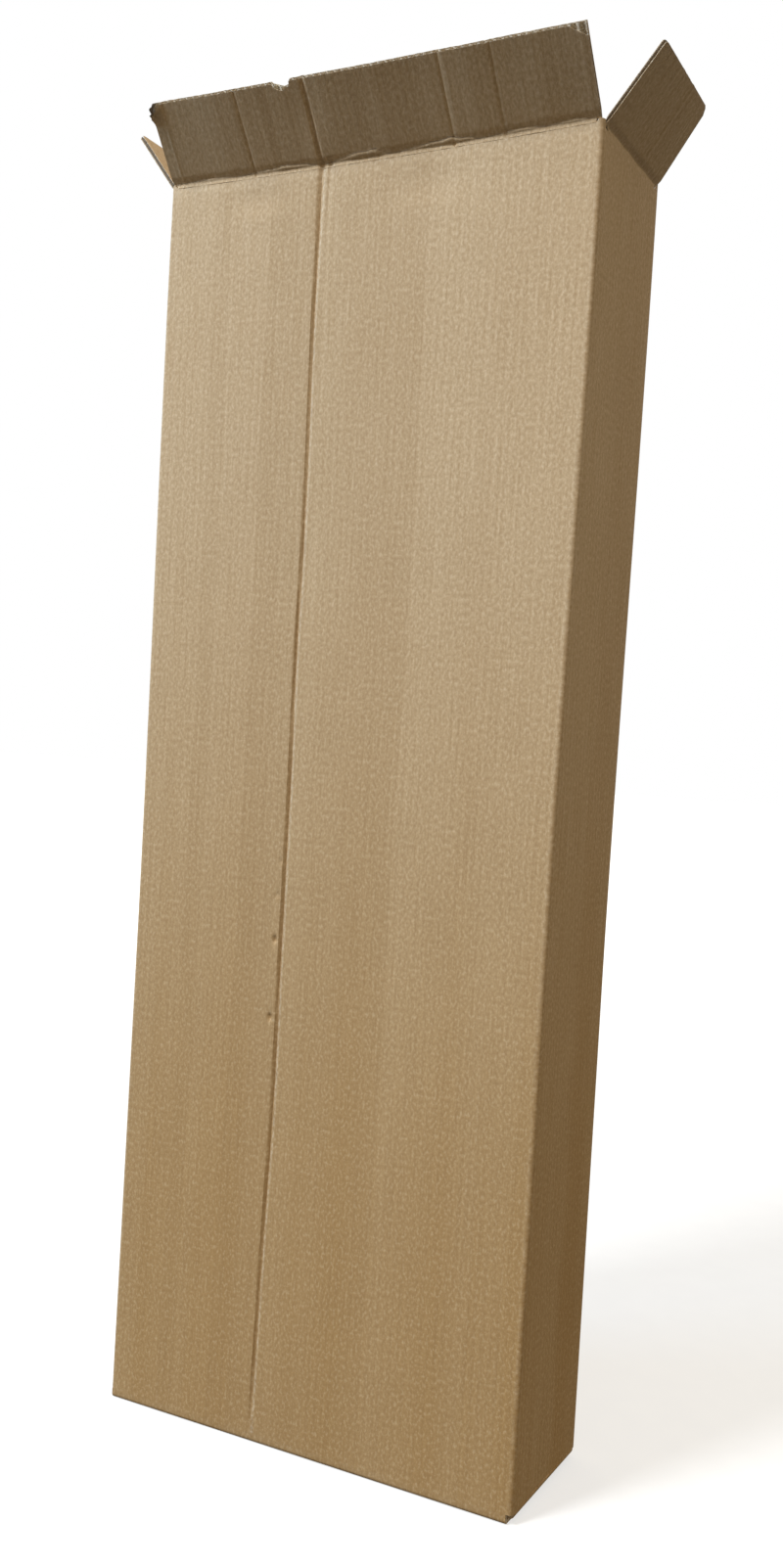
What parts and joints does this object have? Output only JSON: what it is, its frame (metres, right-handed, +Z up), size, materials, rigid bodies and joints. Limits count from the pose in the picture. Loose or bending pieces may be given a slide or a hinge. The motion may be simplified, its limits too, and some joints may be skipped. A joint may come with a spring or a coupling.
{
  "type": "guitar shipping box",
  "caption": "Tall slim corrugated carton standing upright, closed at the base, with hinged flaps folded open at the top.",
  "frame": {"origin": "on the floor, under the middle of the carton", "axes": "+Z up the carton, +X towards the narrow right side, -Y towards the wide front"},
  "size_m": [0.5446, 0.2496, 1.2832],
  "materials": {
    "kraft_board": "matt brown kraft liner over fluted board, creased and scuffed"
  },
  "bodies": {
    "carton": {"carton_body": "kraft_board"},
    "front_flap": {"top_flap_front": "kraft_board"},
    "back_flap": {"top_flap_back": "kraft_board"},
    "right_flap": {"top_flap_right": "kraft_board"},
    "left_flap": {"top_flap_left": "kraft_board"}
  },
  "joints": [
    {"name": "front_fold", "type": "hinge", "parent": "carton", "child": "front_flap", "pos_m": [0, -0.076, 1.223], "axis": [1, 0, 0], "range_deg": [-129, 111]},
    {"name": "back_fold", "type": "hinge", "parent": "carton", "child": "back_flap", "pos_m": [0, 0.076, 1.223], "axis": [-1, 0, 0], "range_deg": [-129, 111]},
    {"name": "right_fold", "type": "hinge", "parent": "carton", "child": "right_flap", "pos_m": [0.223, 0, 1.2187], "axis": [0, 1, 0], "range_deg": [-127, 113]},
    {"name": "left_fold", "type": "hinge", "parent": "carton", "child": "left_flap", "pos_m": [-0.223, 0, 1.2187], "axis": [0, -1, 0], "range_deg": [-127, 113]}
  ]
}
